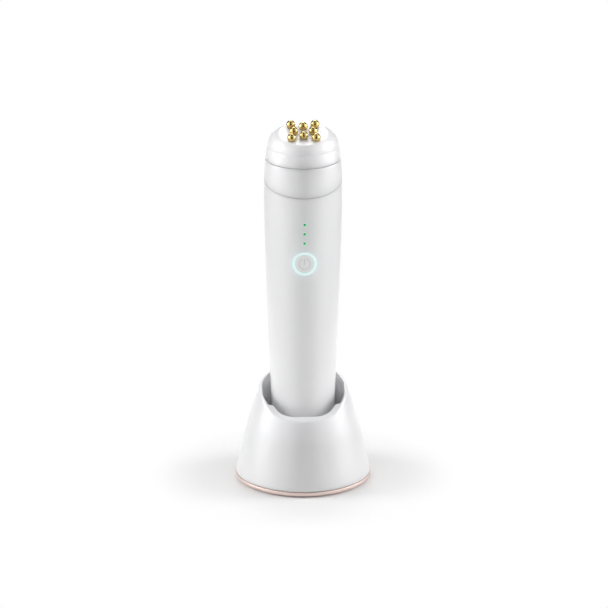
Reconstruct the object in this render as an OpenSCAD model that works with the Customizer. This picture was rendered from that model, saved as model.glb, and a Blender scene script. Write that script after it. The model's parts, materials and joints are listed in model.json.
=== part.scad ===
// Facial toning wand in its charging stand. Millimetres, +Z up.
// Origin: the middle of the stand's footprint, on the table. The front faces -Y.

/* [Stand] */
// Width of the skirt at its foot, side to side
stand_w = 70.2; // [68:0.2:76]
// Height of the stand above its trim ring, at the back of the scoop
back_h = 52.7; // [50:0.1:56]
// Height of the front lip above the trim ring
lip_h = 35.6; // [33:0.2:38]
// Outward bow of the skirt, width lost for each unit of height squared
skirt_bow = 0.001387; // [0.001:0.000001:0.0016]
// Wall between the cradle and the outside, at the back of the rim
rim_wall = 2.9; // [2.4:0.05:3.2]
// Wall of the skirt and of the cradle
stand_wall = 2; // [1.6:0.1:2.4]
// Height of the cradle's floor above the table
cradle_floor_z = 12.9; // [12.5:0.1:14]

/* [Scoop] */
// Depth of the two finger pockets beyond the wand's well
pocket_depth = 4.7; // [4.4:0.05:5]
// Length of the finger pockets, front to back
pocket_len = 28; // [24:0.5:29]
// Height of the pockets' floor above the table
pocket_floor_z = 30; // [28:0.5:34]
// Corner radius of the pockets
pocket_corner = 4.5; // [2:0.5:5]
// Depth of the front recess beyond the wand's well
recess_depth = 4.45; // [4:0.05:4.9]
// Height of the recess's floor above the table
recess_floor_z = 37.5; // [36:0.25:38]
// Corner radius of the front recess
recess_corner = 12; // [9:0.5:13]
// Thickness of the rim beside the pockets
rim_band = 1.2; // [1:0.1:1.4]

/* [Base] */
// Gap between the trim ring and the table
ring_z = 0.8; // [0.6:0.1:1.2]
// Height of the trim ring
ring_h = 2.2; // [1.8:0.1:2.6]
// How far the trim ring stands proud of the skirt
ring_proud = 0.2; // [0:0.05:0.4]
// Shadow gap between the trim ring and the skirt
ring_gap = 0.25; // [0.2:0.05:0.4]
// Diameter of a rubber foot
foot_d = 7; // [6:0.5:8]
// Thickness of a rubber foot
foot_t = 1.8; // [1.4:0.1:2]
// Free height between the steel ballast plate and the stand's board
ballast_head = 0.75; // [0.5:0.05:1.5]
// Free space between the steel ballast plate and the screw bosses
ballast_gap = 3.9; // [1:0.1:6]

/* [Wand] */
// Largest radius of the wand
belly_r = 20.1; // [19.6:0.1:20.4]
// Height of the largest radius above the wand's bottom
belly_h = 141; // [138:1:144]
// Taper of the lower handle, radius lost for each unit of height
taper = 0.042; // [0.038:0.001:0.044]
// Height from the largest radius up to the cap's ridge
shoulder_h = 26; // [25:0.1:28]
// Radius lost from the largest radius up to the cap's ridge
shoulder_drop = 1.7; // [1.5:0.1:2]
// Wall of the handle and of the head
wand_wall = 2; // [1.8:0.1:2.2]
// Free space between the wand and the cradle
cradle_gap = 0.6; // [0.4:0.05:0.8]

/* [Head] */
// Distance from the cap's ridge down to the seam under the head ring, on the axis
seam_drop = 17.1; // [16:0.1:19]
// Forward tilt of the seam under the head ring
seam_tilt = 14; // [12:0.1:15]
// Height of the head cap's band below its ridge
band_h = 6.3; // [6:0.1:7]
// Thickness of the seals in the two seams
seal_t = 0.3; // [0.2:0.05:0.4]
// Height at which the dome would close over the ridge
dome_h = 14.1; // [13.8:0.02:14.6]
// Height of the treatment face above the ridge, on the axis
face_h = 9.1; // [8.8:0.1:9.4]
// Forward tilt of the treatment face
face_tilt = 12.3; // [11:0.1:13]
// Distance of the electrodes' middle in front of the axis
face_shift = 4.3; // [3.7:0.1:4.7]
// Diameter of an electrode ball
ball_d = 4.6; // [4:0.1:4.8]
// Height of a ball's middle above the treatment face
ball_lift = 1.3; // [1:0.1:1.6]
// Distance of a corner ball from the face's middle, to the side
corner_x = 6.2; // [5.8:0.1:6.6]
// Distance of a corner ball from the face's middle, along the face
corner_y = 6.9; // [6.4:0.1:7.2]
// Distance of a middle ball from the face's middle
middle_r = 4.9; // [4.7:0.1:5]

/* [Controls] */
// Distance from the cap's ridge down to the button
button_drop = 57.4; // [54:0.2:61]
// Outside diameter of the light ring round the button
light_ring_d = 12.2; // [11.8:0.1:13]
// Width of the light ring
light_ring_w = 0.85; // [0.8:0.05:1]
// Travel of the button
button_travel = 0.4; // [0.3:0.05:0.5]
// Distance from the button up to the lowest level light
level_rise = 11.2; // [9.5:0.1:13]
// Distance from one level light to the next
level_pitch = 5.05; // [4.5:0.05:5.5]
// Diameter of a level light
level_d = 1.3; // [1:0.1:1.6]

/* [Inside] */
// Distance from the button's face back to the main board
board_depth = 8.5; // [8.3:0.1:8.8]
// Width of the main board
board_w = 15; // [14:0.5:15.5]
// Thickness of every circuit board
board_t = 1.6; // [1.2:0.2:1.6]
// Thickness of the inner frame's plate
frame_t = 2; // [1.6:0.1:2]
// Length of the battery cell
cell_len = 65; // [50:0.5:68]
// Height of the cell's lower end above the wand's bottom
cell_h = 32; // [30:1:36]
// Free room between the battery cell and the handle's rear wall
cell_room = 3.3; // [2:0.1:6]
// Distance between the two charging contacts
contact_pitch = 9; // [8:0.5:10]
// Diameter of a charging contact
contact_d = 4; // [3.5:0.1:4.5]
// Diameter of a charging pin
pin_d = 1.6; // [1.4:0.1:1.8]
// Travel of a charging pin
pin_travel = 0.8; // [0.6:0.1:1]

/* [Hidden] */

// Clearances: pieces of one body, pieces that run in each other, and the wand in its cradle
fit_gap = 0.05;
run_gap = 0.06;
rest_gap = 0.1;
// Overshoot of a cut past the face that it opens, and the size of a cut that takes all beyond it
over = 1;
cut_size = 100;
fine = 180;
round_fn = 48;

pearl = [0.95, 0.95, 0.96];
rose_gold = [0.88, 0.7, 0.62];
gold = [0.85, 0.65, 0.3];
steel = [0.75, 0.76, 0.78];
rubber = [0.16, 0.16, 0.17];
board_green = [0.1, 0.4, 0.25];
brass = [0.8, 0.65, 0.35];
black = [0.12, 0.12, 0.13];
frame_grey = [0.85, 0.86, 0.88];
lead_red = [0.7, 0.15, 0.12];
cell_blue = [0.2, 0.35, 0.6];
film_amber = [0.75, 0.5, 0.2];
led_cream = [0.95, 0.95, 0.8];
glow = [0.75, 1, 0.97];
level_green = [0.3, 0.75, 0.4];

// ---- The wand's outline, as heights above its own bottom ----
wand_z = cradle_floor_z + rest_gap;
neck_round = 1.2;
tail_round = 1.5;
function lower_drop(d) = sqrt(pow(neck_round, 2) + pow(taper * d, 2)) - neck_round;
function upper_drop(d) = shoulder_drop * pow(d / shoulder_h, 3);
function wand_r(h) = belly_r - (h < belly_h ? lower_drop(belly_h - h) : upper_drop(h - belly_h));
ridge_h = belly_h + shoulder_h;
cap_seam_h = ridge_h - band_h;
seam_h = ridge_h - seam_drop;
seam_span = belly_r * tan(seam_tilt) + over;
barrel_band = 4;

// The dome: its radius at a height above the ridge
dome_inset = 0.2;
dome_fullness = 2.614;
dome_roundness = 1.0965;
dome_steps = 20;
dome_share = 0.97;
dome_r = wand_r(ridge_h) - dome_inset;
function dome_radius(h) = dome_r * pow(1 - pow(h / dome_h, dome_fullness), dome_roundness);

// ---- Heights of the stand, from the table up ----
skirt_z = ring_z + ring_h + ring_gap;
rim_back_z = skirt_z + back_h;
lip_z = skirt_z + lip_h;
plate_t = ring_h;
plate_z = ring_z + ring_gap;
plate_top_z = plate_z + plate_t;
board_room = 1.3;
stand_board_top_z = cradle_floor_z - stand_wall - board_room;
stand_board_z = stand_board_top_z - board_t;
ballast_t = stand_board_z - ballast_head - plate_top_z;
pocket_base_t = 3;
cavity_top_z = pocket_floor_z - pocket_base_t;

// The skirt narrows from its foot to the rim, which keeps its wall round the wand at the back
skirt_foot_r = stand_w / 2;
skirt_top_r = wand_r(rim_back_z - wand_z) + cradle_gap + rim_wall;
skirt_lean = (skirt_foot_r - skirt_top_r) / back_h - skirt_bow * back_h;
function skirt_r(h) = skirt_foot_r - skirt_lean * h - skirt_bow * h * h;

// Reaches of what the base holds, from the middle of the stand
plate_gap = 0.2;
foot_inset = 0.9;
base_screw_inset = 8.4;
board_screw_inset = 11.9;
boss_r = 2.6;
pilot_r = 0.9;
plate_r = skirt_foot_r - stand_wall - plate_gap;
ring_r = skirt_foot_r + ring_proud;
foot_reach = plate_r - foot_d / 2 - foot_inset;
foot_recess = foot_t - plate_z;
base_screw_reach = plate_r - base_screw_inset;
board_screw_reach = plate_r - board_screw_inset;
ballast_r = base_screw_reach - boss_r - ballast_gap;
foot_places = [[0, -1], [1, 0], [0, 1], [-1, 0]];
base_screw_places = [for (a = [45, 135, 225, 315])
  [base_screw_reach * cos(a), base_screw_reach * sin(a)]];
board_screw_places = [[-board_screw_reach, 0], [board_screw_reach, 0]];

// Side view of the scoop as a curve between the lip and the back rim,
// as [distance in front of the middle, height above the table]
lip_over = 0.3;
rim_over = 3.8;
lip_flat = 16.7;
lip_lift = 3.75;
scoop_bend = 26.8;
rim_dip = 12;
scoop_steps = 20;
lip_reach = skirt_r(lip_h) + lip_over;
back_reach = -skirt_r(back_h) - rim_over;
function bezier(t, a, b, c, d) =
  pow(1 - t, 3) * a + 3 * t * pow(1 - t, 2) * b + 3 * t * t * (1 - t) * c + pow(t, 3) * d;
function scoop_point(t) = [
  bezier(t, lip_reach, lip_reach - lip_flat, scoop_bend, back_reach),
  bezier(t, lip_z, lip_z + lip_lift, rim_back_z - rim_dip, rim_back_z)
];

// Reaches of the pockets and of the front recess from the middle of the stand
function well_r(z) = wand_r(z - wand_z) + cradle_gap;
pocket_reach = well_r(pocket_floor_z) + pocket_depth;
recess_side = well_r(recess_floor_z);
recess_reach = recess_side + recess_depth;
recess_back = pocket_len / 4;

// ---- The head ----
// Places of the electrodes on the face, as [side, forward]
electrode_places = [
  [-corner_x, -corner_y], [0, -middle_r], [corner_x, -corner_y],
  [-middle_r, 0], [middle_r, 0],
  [-corner_x, corner_y], [0, middle_r], [corner_x, corner_y]
];
ball_r = ball_d / 2;
stem_r = 1.1;
face_wall = 2.2;
electrode_board_depth = 4.2;
electrode_board_t = 1;
electrode_board_edge = 0.15;
electrode_board_r = norm([corner_x, corner_y]) + stem_r + electrode_board_edge;
seal_inset = 0.35;
spigot_gap = 0.3;
spigot_wall = 1.4;
spigot_below = 9;
spigot_above = 3;
cap_spigot_below = 5;
cap_spigot_above = 3;
spigot_r = wand_r(seam_h) - wand_wall - spigot_gap;
cap_spigot_r = wand_r(cap_seam_h) - wand_wall - spigot_gap - 2 * fit_gap;

// ---- Inside the wand ----
cap_t = 4;
tail_bore_r = wand_r(0) - wand_wall - tail_round / 2;
button_h = ridge_h - button_drop;
button_z = wand_z + button_h;
level_heights = [for (i = [0:2]) button_h + level_rise + i * level_pitch];
light_ring_r = light_ring_d / 2;
button_r = light_ring_r - light_ring_w - run_gap;
button_face = wand_r(button_h);
button_depth = 4;
button_post_r = 2.2;
light_ring_depth = 5;
board_front = button_face - board_depth;
board_back = board_front - board_t;
frame_back = board_back - frame_t;
board_h0 = 20;
board_top_drop = 11.9;
board_h1 = seam_h - board_top_drop;
frame_h0 = cap_t;
frame_top_drop = 6;
frame_h1 = seam_h - frame_top_drop;
frame_margin = 0.5;
frame_w = board_w + 2 * frame_margin;
main_screw_side = 2;
main_screw_end = 5;
main_screw_head_r = 1.6;
main_screw_head_t = 0.9;
main_screw_len = 3.2;
main_screw_r = 0.7;
main_screw_places = [for (h = [board_h0 + main_screw_end, board_h1 - main_screw_end], x = [-1, 1])
  [x * (board_w / 2 - main_screw_side), h]];

// The cell leans on the frame's saddles and leaves its room at the rear wall
cell_play = 0.3;
cell_seat = 0.4;
cell_d = wand_r(cell_h) - wand_wall - cell_room + frame_back - cell_seat;
cell_y = cell_d / 2 + cell_seat - frame_back;
cell_z = wand_z + cell_h;
cell_nub_r = 4;
cell_nub_h = 1;
tab_t = 0.2;
tab_w = 6;
tab_over = 4;
tab_slot_gap = 0.2;
saddle_t = 3;
saddle_end = 6;
saddle_back = 7;
top_saddle_drop = 8;
top_saddle_wall = 1;

switch_h = 2.4;
switch_w = 4.6;
switch_base_t = 0.6;
plunger_r = 1.2;
plunger_out = 0.9;
plunger_room = 0.2;
plunger_front = board_front + switch_h + plunger_out;
led_t = 0.6;
led_w = 1.6;
led_h = 0.8;
ring_led_inset = 0.8;
pipe_gap = 0.3;
pipe_flange = 0.6;
pipe_flange_t = 2;

contact_t = 1;
contact_stem_r = 0.9;
contact_stem_out = 1.5;
lead_r = 0.6;
lead_bend = 3;
lead_join = 2;
lead_room = 0.2;
ribbon_t = 0.3;
ribbon_w = 7;
ribbon_tail = 6;

// ---- Turning and placing helpers ----
// Leans a piece forward by an angle about the side-to-side line through a height on the axis
module lean(z, angle, forward = 0) translate([0, -forward, z]) rotate([angle, 0, 0]) children();

// Moves a piece onto the treatment face, with +Z away from the face
module on_face() {
  face_z = wand_z + ridge_h + face_h;
  lean(face_z - face_shift * tan(face_tilt), face_tilt, face_shift) children();
}

// A round bar along Y, from the front face at distance front to distance back
module front_bar(r, front, back, z) translate([0, -back, z]) rotate([90, 0, 0])
  cylinder(h = front - back, r = r, $fn = round_fn);

// A solid that fills the wand's outline, less a wall, between two heights
module wand_body(from_h, to_h, wall = 0) {
  steps = max(2, ceil((to_h - from_h) / barrel_band));
  heights = [for (i = [0:steps]) from_h + (to_h - from_h) * i / steps];
  translate([0, 0, wand_z]) rotate_extrude($fn = fine)
    polygon([[0, from_h], for (h = heights) [wand_r(h) - wall, h], [0, to_h]]);
}

// A round bore about the wand's axis, between two heights above its bottom
module wand_bore(from_h, to_h, r) translate([0, 0, wand_z + from_h])
  cylinder(h = to_h - from_h, r = r, $fn = fine);

// Everything above the tilted seam, raised by a distance
module above_seam(raise = 0) lean(wand_z + seam_h, seam_tilt)
  translate([0, 0, raise + cut_size / 2]) cube(cut_size, center = true);

// ---- Stand ----
module skirt_solid(inset, from_z, to_z) {
  steps = 16;
  heights = [for (i = [0:steps]) from_z + (to_z - from_z) * i / steps];
  rotate_extrude($fn = fine)
    polygon([[0, from_z], for (z = heights) [skirt_r(z - skirt_z) - inset, z], [0, to_z]]);
}

module scoop_cut() rotate([90, 0, -90]) linear_extrude(cut_size, center = true)
  polygon([
    [cut_size, lip_z], for (i = [0:scoop_steps]) scoop_point(i / scoop_steps),
    [-cut_size, rim_back_z], [-cut_size, cut_size], [cut_size, cut_size]
  ]);

// The cradle's well, or with a wall the solid round it
module cradle_well(wall) {
  depth = rim_back_z - wand_z + over;
  steps = 12;
  spread = cradle_gap + wall;
  translate([0, 0, wand_z]) rotate_extrude($fn = fine)
    polygon([
      [0, -rest_gap - wall], [wand_r(0) - tail_round + spread, -rest_gap - wall],
      [wand_r(0) + spread, tail_round],
      for (i = [1:steps]) [wand_r(depth * i / steps) + spread, depth * i / steps],
      [0, depth]
    ]);
}

// A rectangle with rounded corners, from its middle
module round_plan(half_x, half_y, r) {
  for (x = [-1, 1], y = [-1, 1]) translate([x * (half_x - r), y * (half_y - r)])
    circle(r, $fn = fine / 2);
  square([2 * half_x, 2 * (half_y - r)], center = true);
  square([2 * (half_x - r), 2 * half_y], center = true);
}

// Pockets beside the wand and a shallow recess in front of it, inside the rim's thickness
module cradle_openings() intersection() {
  union() {
    translate([0, 0, pocket_floor_z]) linear_extrude(rim_back_z)
      round_plan(pocket_reach, pocket_len / 2, pocket_corner);
    translate([0, (recess_back - recess_reach) / 2, recess_floor_z]) linear_extrude(rim_back_z)
      round_plan(recess_side, (recess_reach + recess_back) / 2, recess_corner);
  }
  skirt_solid(rim_band, pocket_floor_z - over, rim_back_z + 2 * over);
}

module bosses(places, from_z) for (p = places) translate([p[0], p[1], from_z])
  cylinder(h = cavity_top_z + over - from_z, r = boss_r, $fn = round_fn);

module pilots(places, from_z, depth) for (p = places) translate([p[0], p[1], from_z - over])
  cylinder(h = depth + over, r = pilot_r, $fn = round_fn);

// Screws: the base's four, and the two of the stand's board
base_screw_head_r = 2.3;
base_screw_head_t = 1.4;
base_screw_len = 9;
base_screw_hole_r = 1.4;
screw_head_room = 0.2;
screw_sink = 0.1;
cross_w = 2.4;
cross_t = 0.6;
cross_depth = 0.7;
board_screw_head_r = 1.9;
board_screw_head_t = 1;
board_screw_len = 8;

// Charging inlet: the socket's outside, and the place of its mouth
inlet_w = 8.94;
inlet_h = 3.26;
inlet_len = 7.3;
inlet_wall = 0.3;
inlet_back_t = 1.2;
inlet_slot_room = 0.25;
inlet_slot_reach = 8;
inlet_sink = 0.7;
inlet_z = stand_board_top_z + inlet_h / 2;
inlet_mouth = skirt_r(inlet_z - skirt_z) - inlet_sink;
tongue_w = 6.7;
tongue_t = 0.7;
tongue_sink = 0.8;
tongue_len = inlet_len - inlet_back_t - tongue_sink;

module slot_bar(room, from_y, to_y) {
  w = inlet_w + 2 * room;
  h = inlet_h + 2 * room;
  translate([0, to_y, inlet_z]) rotate([90, 0, 0]) linear_extrude(to_y - from_y) {
    for (x = [-1, 1]) translate([x * (w - h) / 2, 0]) circle(h / 2, $fn = round_fn);
    square([w - h, h], center = true);
  }
}

pin_block_side = 3;
pin_block_d = 6;
pin_block_w = contact_pitch + 2 * pin_block_side;

module stand_shell() color(pearl) difference() {
  union() {
    difference() {
      skirt_solid(0, skirt_z, rim_back_z + over);
      skirt_solid(stand_wall, skirt_z - over, cavity_top_z);
    }
    intersection() {
      cradle_well(stand_wall);
      skirt_solid(stand_wall / 2, skirt_z, cavity_top_z + over);
    }
    bosses(base_screw_places, plate_top_z);
    bosses(board_screw_places, stand_board_top_z);
  }
  scoop_cut();
  cradle_well(0);
  cradle_openings();
  pilots(base_screw_places, plate_top_z, base_screw_len + over);
  pilots(board_screw_places, stand_board_top_z, board_screw_len);
  translate([0, 0, cradle_floor_z - stand_wall / 2]) cube([
    pin_block_w + 2 * fit_gap, pin_block_d + 2 * fit_gap, stand_wall + 2 * over], center = true);
  slot_bar(inlet_slot_room, inlet_mouth - inlet_slot_reach, inlet_mouth + inlet_slot_reach);
}

module trim_ring() color(rose_gold) translate([0, 0, ring_z]) difference() {
  cylinder(h = ring_h, r = ring_r, $fn = fine);
  translate([0, 0, -over]) cylinder(h = ring_h + 2 * over, r = plate_r, $fn = fine);
}

module base_plate() color(black) difference() {
  translate([0, 0, plate_z]) cylinder(h = plate_t, r = plate_r, $fn = fine);
  for (p = foot_places) translate([foot_reach * p[0], foot_reach * p[1], plate_z - over])
    cylinder(h = foot_recess + over, r = foot_d / 2, $fn = round_fn);
  for (p = base_screw_places) translate([p[0], p[1], plate_z - over]) {
    cylinder(h = base_screw_head_t + over, r = base_screw_head_r + screw_head_room, $fn = round_fn);
    cylinder(h = plate_t + 2 * over, r = base_screw_hole_r, $fn = round_fn);
  }
}

module ballast_plate() color(steel) translate([0, 0, plate_top_z])
  cylinder(h = ballast_t, r = ballast_r, $fn = fine);

module foot(place) color(rubber) translate([foot_reach * place[0], foot_reach * place[1], 0])
  cylinder(h = foot_t, d = foot_d, $fn = round_fn);

// A pan-head screw that points up: its head's underside faces the bore it closes
module screw(head_r, head_t, shank_r, len) {
  cylinder(h = head_t, r = head_r, $fn = round_fn);
  translate([0, 0, head_t]) cylinder(h = len, r = shank_r, $fn = round_fn);
}

module base_screws() color(steel) for (p = base_screw_places)
  translate([p[0], p[1], plate_z + screw_sink]) difference() {
    screw(base_screw_head_r, base_screw_head_t - screw_sink, pilot_r, base_screw_len);
    translate([0, 0, -over]) linear_extrude(over + cross_depth) for (a = [0, 90]) rotate(a)
      square([cross_w, cross_t], center = true);
  }

// The stand's board: a disc, an ear for each screw, and a tail that carries the inlet
board_disc_r = 15.5;
board_ear_w = 7;
board_ear_over = 2.5;
board_tail_w = 18;
board_tail_short = 4.2;

module stand_board() color(board_green) translate([0, 0, stand_board_z]) linear_extrude(board_t)
  difference() {
    tail = inlet_mouth - board_tail_short;
    union() {
      circle(board_disc_r, $fn = fine);
      square([2 * (board_screw_reach + board_ear_over), board_ear_w], center = true);
      translate([0, tail / 2]) square([board_tail_w, tail], center = true);
    }
    for (p = board_screw_places) translate(p) circle(pilot_r + screw_head_room, $fn = round_fn);
  }

module stand_board_screws() color(steel) for (p = board_screw_places)
  translate([p[0], p[1], stand_board_z - board_screw_head_t])
    screw(board_screw_head_r, board_screw_head_t, pilot_r, board_screw_len);

module inlet_shell() color(steel) difference() {
  slot_bar(0, inlet_mouth - inlet_len, inlet_mouth);
  slot_bar(-inlet_wall, inlet_mouth - inlet_len + inlet_back_t, inlet_mouth + over);
}

module inlet_tongue() color(black)
  translate([-tongue_w / 2, inlet_mouth - tongue_sink - tongue_len, inlet_z - tongue_t / 2])
    cube([tongue_w, tongue_len, tongue_t]);

// ---- Charging pins ----
barrel_wall = 0.29;
barrel_floor = 0.4;
coil_solid = 1.1;
pin_block_h = cradle_floor_z - stand_board_top_z;
pin_tip_z = wand_z - rest_gap / 2;
pin_root_z = stand_board_top_z + barrel_floor + coil_solid + pin_travel;
pin_nose = pin_d / 4;
barrel_bore_r = pin_d / 2 + run_gap;
barrel_r = barrel_bore_r + barrel_wall;

module pin_block() color(black) difference() {
  translate([0, 0, stand_board_top_z + pin_block_h / 2])
    cube([pin_block_w, pin_block_d, pin_block_h], center = true);
  for (s = [-1, 1]) translate([s * contact_pitch / 2, 0, stand_board_top_z - over])
    cylinder(h = pin_block_h + 2 * over, r = barrel_r, $fn = round_fn);
}

module pin_barrel(side) color(brass) translate([side * contact_pitch / 2, 0, stand_board_top_z])
  difference() {
    cylinder(h = pin_block_h, r = barrel_r, $fn = round_fn);
    translate([0, 0, barrel_floor]) cylinder(h = pin_block_h, r = barrel_bore_r, $fn = round_fn);
  }

module charge_pin(side) color(gold) translate([side * contact_pitch / 2, 0, pin_root_z]) {
  straight = pin_tip_z - pin_root_z - pin_nose;
  cylinder(h = straight, d = pin_d, $fn = round_fn);
  translate([0, 0, straight]) cylinder(h = pin_nose, d1 = pin_d, d2 = pin_d / 2, $fn = round_fn);
}

coil_turns = 4;
coil_wire_r = 0.13;
coil_steps = 14 * coil_turns;
coil_sides = 6;
coil_r = pin_d / 2 - coil_wire_r - fit_gap;
coil_z = stand_board_top_z + barrel_floor + coil_wire_r;
coil_rise = pin_root_z - coil_wire_r - coil_z;

// One ring of the coil's wire at a step along the helix
function coil_ring(i) = let (a = 360 * coil_turns * i / coil_steps)
  [for (s = [0:coil_sides - 1]) let (b = 360 * s / coil_sides, q = coil_r + coil_wire_r * cos(b))
    [q * cos(a), q * sin(a), coil_wire_r * sin(b) + coil_rise * i / coil_steps]];

module pin_spring(side) color(steel) translate([side * contact_pitch / 2, 0, coil_z])
  polyhedron(
    points = [for (i = [0:coil_steps]) each coil_ring(i)],
    faces = [
      [for (s = [0:coil_sides - 1]) s],
      for (i = [0:coil_steps - 1], s = [0:coil_sides - 1]) let (t = (s + 1) % coil_sides)
        [i * coil_sides + s, (i + 1) * coil_sides + s, (i + 1) * coil_sides + t, i * coil_sides + t],
      [for (s = [coil_sides - 1:-1:0]) coil_steps * coil_sides + s]
    ]);

// ---- Wand ----
module handle_shell() color(pearl) difference() {
  intersection() {
    wand_body(0, seam_h + seam_span);
    union() {
      translate([0, 0, wand_z])
        cylinder(h = tail_round, r1 = wand_r(0) - tail_round, r2 = wand_r(0), $fn = fine);
      wand_bore(tail_round, seam_h + seam_span + over, belly_r + over);
    }
  }
  above_seam(-seal_t / 2);
  wand_body(cap_t, seam_h + seam_span + over, wand_wall);
  wand_bore(-over, cap_t + over, tail_bore_r);
  front_bar(light_ring_r + fit_gap, belly_r + over, board_front, button_z);
  for (h = level_heights) front_bar(level_d / 2 + fit_gap, belly_r + over, board_front, wand_z + h);
}

module bottom_cap() color(pearl) difference() {
  wand_bore(0, cap_t, tail_bore_r - fit_gap);
  for (s = [-1, 1]) translate([s * contact_pitch / 2, 0, wand_z - over]) {
    cylinder(h = contact_t + over, d = contact_d + 2 * fit_gap, $fn = round_fn);
    cylinder(h = cap_t + 2 * over, r = contact_stem_r + fit_gap, $fn = round_fn);
  }
}

module contact(side) color(gold) translate([side * contact_pitch / 2, 0, wand_z]) {
  cylinder(h = contact_t, d = contact_d, $fn = round_fn);
  cylinder(h = cap_t + contact_stem_out, r = contact_stem_r, $fn = round_fn);
}

// One lead: up from its contact, round a bend, then forward onto the back of the board's foot
lead_h0 = cap_t + contact_stem_out;
lead_h1 = board_h0 + lead_join;

module lead(side) translate([side * contact_pitch / 2, 0, wand_z]) {
  translate([0, 0, lead_h0]) cylinder(h = lead_h1 - lead_bend - lead_h0, r = lead_r, $fn = 24);
  translate([0, -lead_bend, lead_h1 - lead_bend]) rotate([0, -90, 0])
    rotate_extrude(angle = 90, $fn = round_fn) translate([lead_bend, 0]) circle(lead_r, $fn = 24);
  translate([0, -lead_bend, lead_h1]) rotate([90, 0, 0])
    cylinder(h = board_back - lead_bend, r = lead_r, $fn = 24);
}

module charge_leads() color(lead_red) for (s = [-1, 1]) lead(s);

// Frame: a plate behind the board, with saddles that hug the cell and reach the handle's wall
saddle_heights = [cell_h + saddle_end, cell_h + cell_len / 2, cell_h + cell_len - saddle_end,
  board_h1 - top_saddle_drop];

module inner_frame() color(frame_grey) difference() {
  union() {
    translate([-frame_w / 2, -board_back, wand_z + frame_h0])
      cube([frame_w, frame_t, frame_h1 - frame_h0]);
    for (h = saddle_heights) intersection() {
      wand_body(h - saddle_t / 2, h + saddle_t / 2, wand_wall + 2 * fit_gap);
      translate([-belly_r, -frame_back - fit_gap, wand_z + h - saddle_t / 2])
        cube([2 * belly_r, frame_back + saddle_back, saddle_t]);
    }
  }
  translate([0, cell_y, cell_z - cell_play])
    cylinder(h = cell_len + 2 * cell_play, d = cell_d + 2 * fit_gap, $fn = fine);
  wand_bore(board_h1 - 2 * top_saddle_drop, board_h1, frame_back - top_saddle_wall);
  for (h = [cell_h - tab_t, cell_h + cell_len])
    translate([-tab_w / 2 - tab_slot_gap, -board_back - over, wand_z + h - tab_slot_gap])
      cube([tab_w + 2 * tab_slot_gap, frame_t + 2 * over, tab_t + 2 * tab_slot_gap]);
  for (p = main_screw_places) translate([p[0], 0, wand_z + p[1]]) rotate([90, 0, 0])
    cylinder(h = belly_r, r = main_screw_r, $fn = round_fn);
  for (s = [-1, 1]) translate([s * contact_pitch / 2, -board_back - over, wand_z + lead_h1])
    rotate([-90, 0, 0]) cylinder(h = frame_t + 2 * over, r = lead_r + lead_room, $fn = 24);
}

module battery_cell() color(cell_blue) translate([0, cell_y, cell_z]) {
  cylinder(h = cell_len - cell_nub_h, d = cell_d, $fn = fine);
  cylinder(h = cell_len, r = cell_nub_r, $fn = round_fn);
}

// Nickel strips from the two ends of the cell to the board
module cell_tabs() color(steel) for (h = [cell_h - tab_t, cell_h + cell_len])
  translate([-tab_w / 2, -board_back, wand_z + h]) cube([tab_w, board_back + cell_y + tab_over, tab_t]);

module main_board() color(board_green) difference() {
  translate([-board_w / 2, -board_front, wand_z + board_h0])
    cube([board_w, board_t, board_h1 - board_h0]);
  for (p = main_screw_places) translate([p[0], 0, wand_z + p[1]]) rotate([90, 0, 0])
    cylinder(h = belly_r, r = main_screw_r + screw_head_room, $fn = round_fn);
}

module main_board_screws() color(steel) for (p = main_screw_places)
  translate([p[0], -board_front - main_screw_head_t, wand_z + p[1]]) rotate([-90, 0, 0])
    screw(main_screw_head_r, main_screw_head_t, main_screw_r, main_screw_len);

module switch_case() color(black) difference() {
  translate([0, -board_front - switch_h / 2, button_z])
    cube([switch_w, switch_h, switch_w], center = true);
  front_bar(plunger_r + run_gap, board_front + switch_h + over, board_front + switch_base_t, button_z);
}

module switch_plunger() color(pearl) front_bar(plunger_r, plunger_front,
  board_front + switch_base_t + button_travel + plunger_room, button_z);

module button_cap() color(pearl) intersection() {
  union() {
    front_bar(button_r, belly_r + over, button_face - button_depth, button_z);
    front_bar(button_post_r, button_face, plunger_front, button_z);
  }
  wand_body(cap_t, seam_h, fit_gap);
}

module light_ring() color(glow) difference() {
  intersection() {
    front_bar(light_ring_r, belly_r + over, button_face - light_ring_depth, button_z);
    wand_body(cap_t, seam_h);
  }
  front_bar(light_ring_r - light_ring_w, belly_r + 2 * over, 0, button_z);
}

module ring_leds() color(led_cream) for (a = [45, 135, 225, 315]) {
  reach = light_ring_r - ring_led_inset;
  translate([reach * cos(a), -board_front - led_t / 2, button_z + reach * sin(a)])
    cube([led_w, led_t, led_h], center = true);
}

module level_leds() color(led_cream) for (h = level_heights)
  translate([0, -board_front - led_t / 2, wand_z + h]) cube([led_w, led_t, led_h], center = true);

// A light pipe: a thin rod to the surface, with a flange that stays behind the wall
module level_pipe(i) color(level_green) {
  h = level_heights[i];
  back = board_front + led_t + pipe_gap;
  intersection() {
    union() {
      front_bar(level_d / 2, belly_r + over, back, wand_z + h);
      front_bar(level_d / 2 + pipe_flange, wand_r(h) - wand_wall - pipe_gap, back + pipe_flange_t,
        wand_z + h);
    }
    wand_body(cap_t, seam_h);
  }
}

// ---- Head ----
module neck_seal() color(rubber) difference() {
  intersection() {
    wand_body(seam_h - seam_span, seam_h + seam_span, seal_inset);
    above_seam(-seal_t / 2);
  }
  above_seam(seal_t / 2);
  wand_bore(seam_h - 2 * seam_span, seam_h + 2 * seam_span, spigot_r + fit_gap);
}

module head_ring() color(pearl) difference() {
  union() {
    intersection() {
      wand_body(seam_h - seam_span, cap_seam_h - seal_t);
      above_seam(seal_t / 2);
    }
    wand_bore(seam_h - spigot_below, seam_h + spigot_above, spigot_r);
  }
  wand_bore(seam_h - spigot_below - over, ridge_h, cap_spigot_r + fit_gap);
}

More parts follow.
